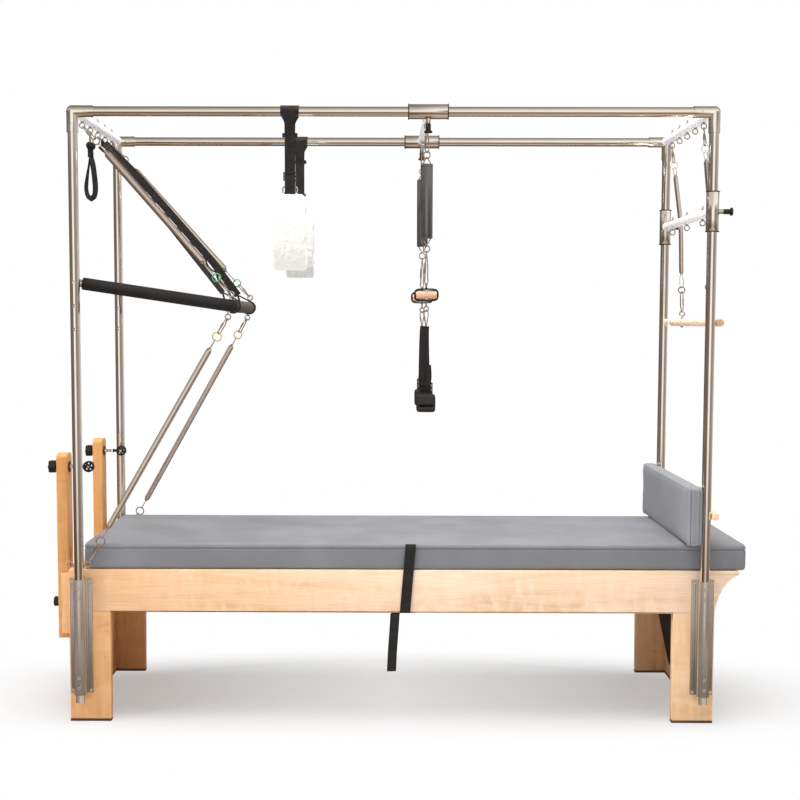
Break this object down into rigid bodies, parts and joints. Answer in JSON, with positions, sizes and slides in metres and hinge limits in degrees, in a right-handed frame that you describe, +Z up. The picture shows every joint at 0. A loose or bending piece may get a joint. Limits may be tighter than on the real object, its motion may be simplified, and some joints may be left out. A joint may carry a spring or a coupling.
{
  "type": "pilates trapeze table",
  "caption": "Padded wooden bench under a tall tube frame, with a swinging push-through bar, springs, sliders, hanging straps, loops, a roll-down bar and pulley risers.",
  "frame": {"origin": "on the floor, under the middle of the whole table's length and depth", "axes": "+X along the table towards the roll-down bar, +Y to the rear, +Z up; the push-through bar is at the -X end"},
  "size_m": [2.352, 0.774, 2.0575],
  "materials": {
    "maple": "clear satin varnish",
    "dark_wood": "matt",
    "tube_steel": "polished",
    "satin_aluminium": "satin anodised",
    "spring_steel": "bright wound wire",
    "grey_vinyl": "satin upholstery vinyl",
    "black_foam": "matt closed-cell foam",
    "grey_foam": "matt closed-cell foam",
    "black_webbing": "woven webbing",
    "white_fleece": "deep pile",
    "grey_pad": "padded cloth",
    "black_plastic": "moulded"
  },
  "bodies": {
    "table": {"front_side_panel": "maple", "rear_side_panel": "maple", "left_end_panel": "maple", "right_end_panel": "maple", "deck_board": "maple", "foot_strip_left": "dark_wood", "foot_strip_right": "dark_wood", "bracket_front_left": "satin_aluminium", "bracket_front_right": "satin_aluminium", "bracket_rear_left": "satin_aluminium", "bracket_rear_right": "satin_aluminium", "upright_front_left": "tube_steel", "upright_front_right": "tube_steel", "upright_rear_left": "tube_steel", "upright_rear_right": "tube_steel", "rail_front": "tube_steel", "rail_rear": "tube_steel", "crossbar_left": "tube_steel", "crossbar_right": "tube_steel", "mattress": "grey_vinyl", "mattress_strap": "black_webbing", "end_cushion": "grey_vinyl", "end_cushion_board": "maple", "strap_bundle": "black_webbing", "push_spring_upper_front": "spring_steel", "push_spring_lower_front": "spring_steel", "push_spring_upper_rear": "spring_steel", "push_spring_lower_rear": "spring_steel", "safety_straps": "black_webbing"},
    "push_bar": {"push_bar": "tube_steel", "push_bar_pad_front": "black_foam", "push_bar_pad_rear": "black_foam", "push_bar_grip": "grey_foam"},
    "end_slider": {"end_slider": "satin_aluminium"},
    "end_plunger_front": {"end_plunger_front": "black_plastic"},
    "end_plunger_rear": {"end_plunger_rear": "black_plastic"},
    "top_slider": {"top_slider": "satin_aluminium"},
    "top_plunger_front": {"top_plunger_front": "black_plastic"},
    "top_plunger_rear": {"top_plunger_rear": "black_plastic"},
    "string_front": {"padded_handle_front": "grey_pad", "foot_strap_front": "black_webbing"},
    "string_rear": {"padded_handle_rear": "grey_pad", "foot_strap_rear": "black_webbing"},
    "roll_bar": {"arm_spring_front": "spring_steel", "arm_spring_rear": "spring_steel", "roll_down_bar": "maple"},
    "fuzzy_loop_front": {"fuzzy_strap_front": "black_webbing", "fleece_loop_front": "white_fleece"},
    "fuzzy_loop_rear": {"fuzzy_strap_rear": "black_webbing", "fleece_loop_rear": "white_fleece"},
    "hand_loop": {"hand_loop": "black_webbing"},
    "riser_front": {"riser_post_front": "maple"},
    "riser_rear": {"riser_post_rear": "maple"},
    "pulley_block_front": {"pulley_block_front": "tube_steel"},
    "pulley_block_rear": {"pulley_block_rear": "tube_steel"},
    "pulley_wheel_front": {"pulley_wheel_front": "black_plastic"},
    "pulley_wheel_rear": {"pulley_wheel_rear": "black_plastic"},
    "lock_knob_front": {"lock_knob_front": "black_plastic"},
    "lock_knob_rear": {"lock_knob_rear": "black_plastic"}
  },
  "joints": [
    {"name": "push_bar_swing", "type": "hinge", "parent": "table", "child": "push_bar", "pos_m": [-1.06105, 0, 1.48], "axis": [0, -1, 0], "range_deg": [0, 70], "deforming": ["push_spring_upper_front", "push_spring_upper_rear", "push_spring_lower_front", "push_spring_lower_rear", "safety_straps"]},
    {"name": "end_slider_lift", "type": "slide", "parent": "table", "child": "end_slider", "axis": [0, 0, 1], "range_m": [-0.26, 0]},
    {"name": "end_plunger_pull_front", "type": "slide", "parent": "end_slider", "child": "end_plunger_front", "axis": [1, 0, 0], "range_m": [0, 0.006], "stiffness_N_per_m": 1200},
    {"name": "end_plunger_pull_rear", "type": "slide", "parent": "end_slider", "child": "end_plunger_rear", "axis": [1, 0, 0], "range_m": [0, 0.006], "stiffness_N_per_m": 1200},
    {"name": "top_slider_travel", "type": "slide", "parent": "table", "child": "top_slider", "axis": [1, 0, 0], "range_m": [-0.32, 0.6]},
    {"name": "top_plunger_pull_front", "type": "slide", "parent": "top_slider", "child": "top_plunger_front", "axis": [0, 0, -1], "range_m": [0, 0.006], "stiffness_N_per_m": 1200},
    {"name": "top_plunger_pull_rear", "type": "slide", "parent": "top_slider", "child": "top_plunger_rear", "axis": [0, 0, -1], "range_m": [0, 0.006], "stiffness_N_per_m": 1200},
    {"name": "string_swing_front", "type": "hinge", "parent": "top_slider", "child": "string_front", "pos_m": [0.09895, -0.23, 2.0036], "axis": [0, 1, 0], "range_deg": [-20, 20]},
    {"name": "string_swing_rear", "type": "hinge", "parent": "top_slider", "child": "string_rear", "pos_m": [0.09895, 0.23, 2.0036], "axis": [0, 1, 0], "range_deg": [-20, 20]},
    {"name": "roll_bar_swing", "type": "hinge", "parent": "table", "child": "roll_bar", "pos_m": [1.02435, 0, 2.0036], "axis": [0, -1, 0], "range_deg": [0, 40]},
    {"name": "fuzzy_loop_swing_front", "type": "hinge", "parent": "table", "child": "fuzzy_loop_front", "pos_m": [-0.35205, -0.345, 2.035], "axis": [-1, 0, 0], "range_deg": [-5, 45]},
    {"name": "fuzzy_loop_swing_rear", "type": "hinge", "parent": "table", "child": "fuzzy_loop_rear", "pos_m": [-0.36505, 0.345, 2.035], "axis": [1, 0, 0], "range_deg": [-5, 45]},
    {"name": "hand_loop_swing", "type": "hinge", "parent": "table", "child": "hand_loop", "pos_m": [-1.05605, -0.115, 2.0036], "axis": [0, 1, 0], "range_deg": [-30, 30]},
    {"name": "riser_slide_front", "type": "slide", "parent": "table", "child": "riser_front", "axis": [0, 0, 1], "range_m": [-0.18, 0.09]},
    {"name": "riser_slide_rear", "type": "slide", "parent": "table", "child": "riser_rear", "axis": [0, 0, 1], "range_m": [-0.18, 0.09]},
    {"name": "pulley_swivel_front", "type": "hinge", "parent": "riser_front", "child": "pulley_block_front", "pos_m": [-1.1261, -0.265, 0.862], "axis": [1, 0, 0], "continuous": true},
    {"name": "pulley_swivel_rear", "type": "hinge", "parent": "riser_rear", "child": "pulley_block_rear", "pos_m": [-1.1261, 0.265, 0.862], "axis": [1, 0, 0], "continuous": true},
    {"name": "wheel_spin_front", "type": "hinge", "parent": "pulley_block_front", "child": "pulley_wheel_front", "pos_m": [-1.04265, -0.265, 0.862], "axis": [0, 1, 0], "continuous": true},
    {"name": "wheel_spin_rear", "type": "hinge", "parent": "pulley_block_rear", "child": "pulley_wheel_rear", "pos_m": [-1.04265, 0.265, 0.862], "axis": [0, 1, 0], "continuous": true},
    {"name": "lock_knob_turn_front", "type": "hinge", "parent": "table", "child": "lock_knob_front", "pos_m": [-1.1261, -0.265, 0.4], "axis": [1, 0, 0], "continuous": true},
    {"name": "lock_knob_turn_rear", "type": "hinge", "parent": "table", "child": "lock_knob_rear", "pos_m": [-1.1261, 0.265, 0.4], "axis": [1, 0, 0], "continuous": true}
  ]
}
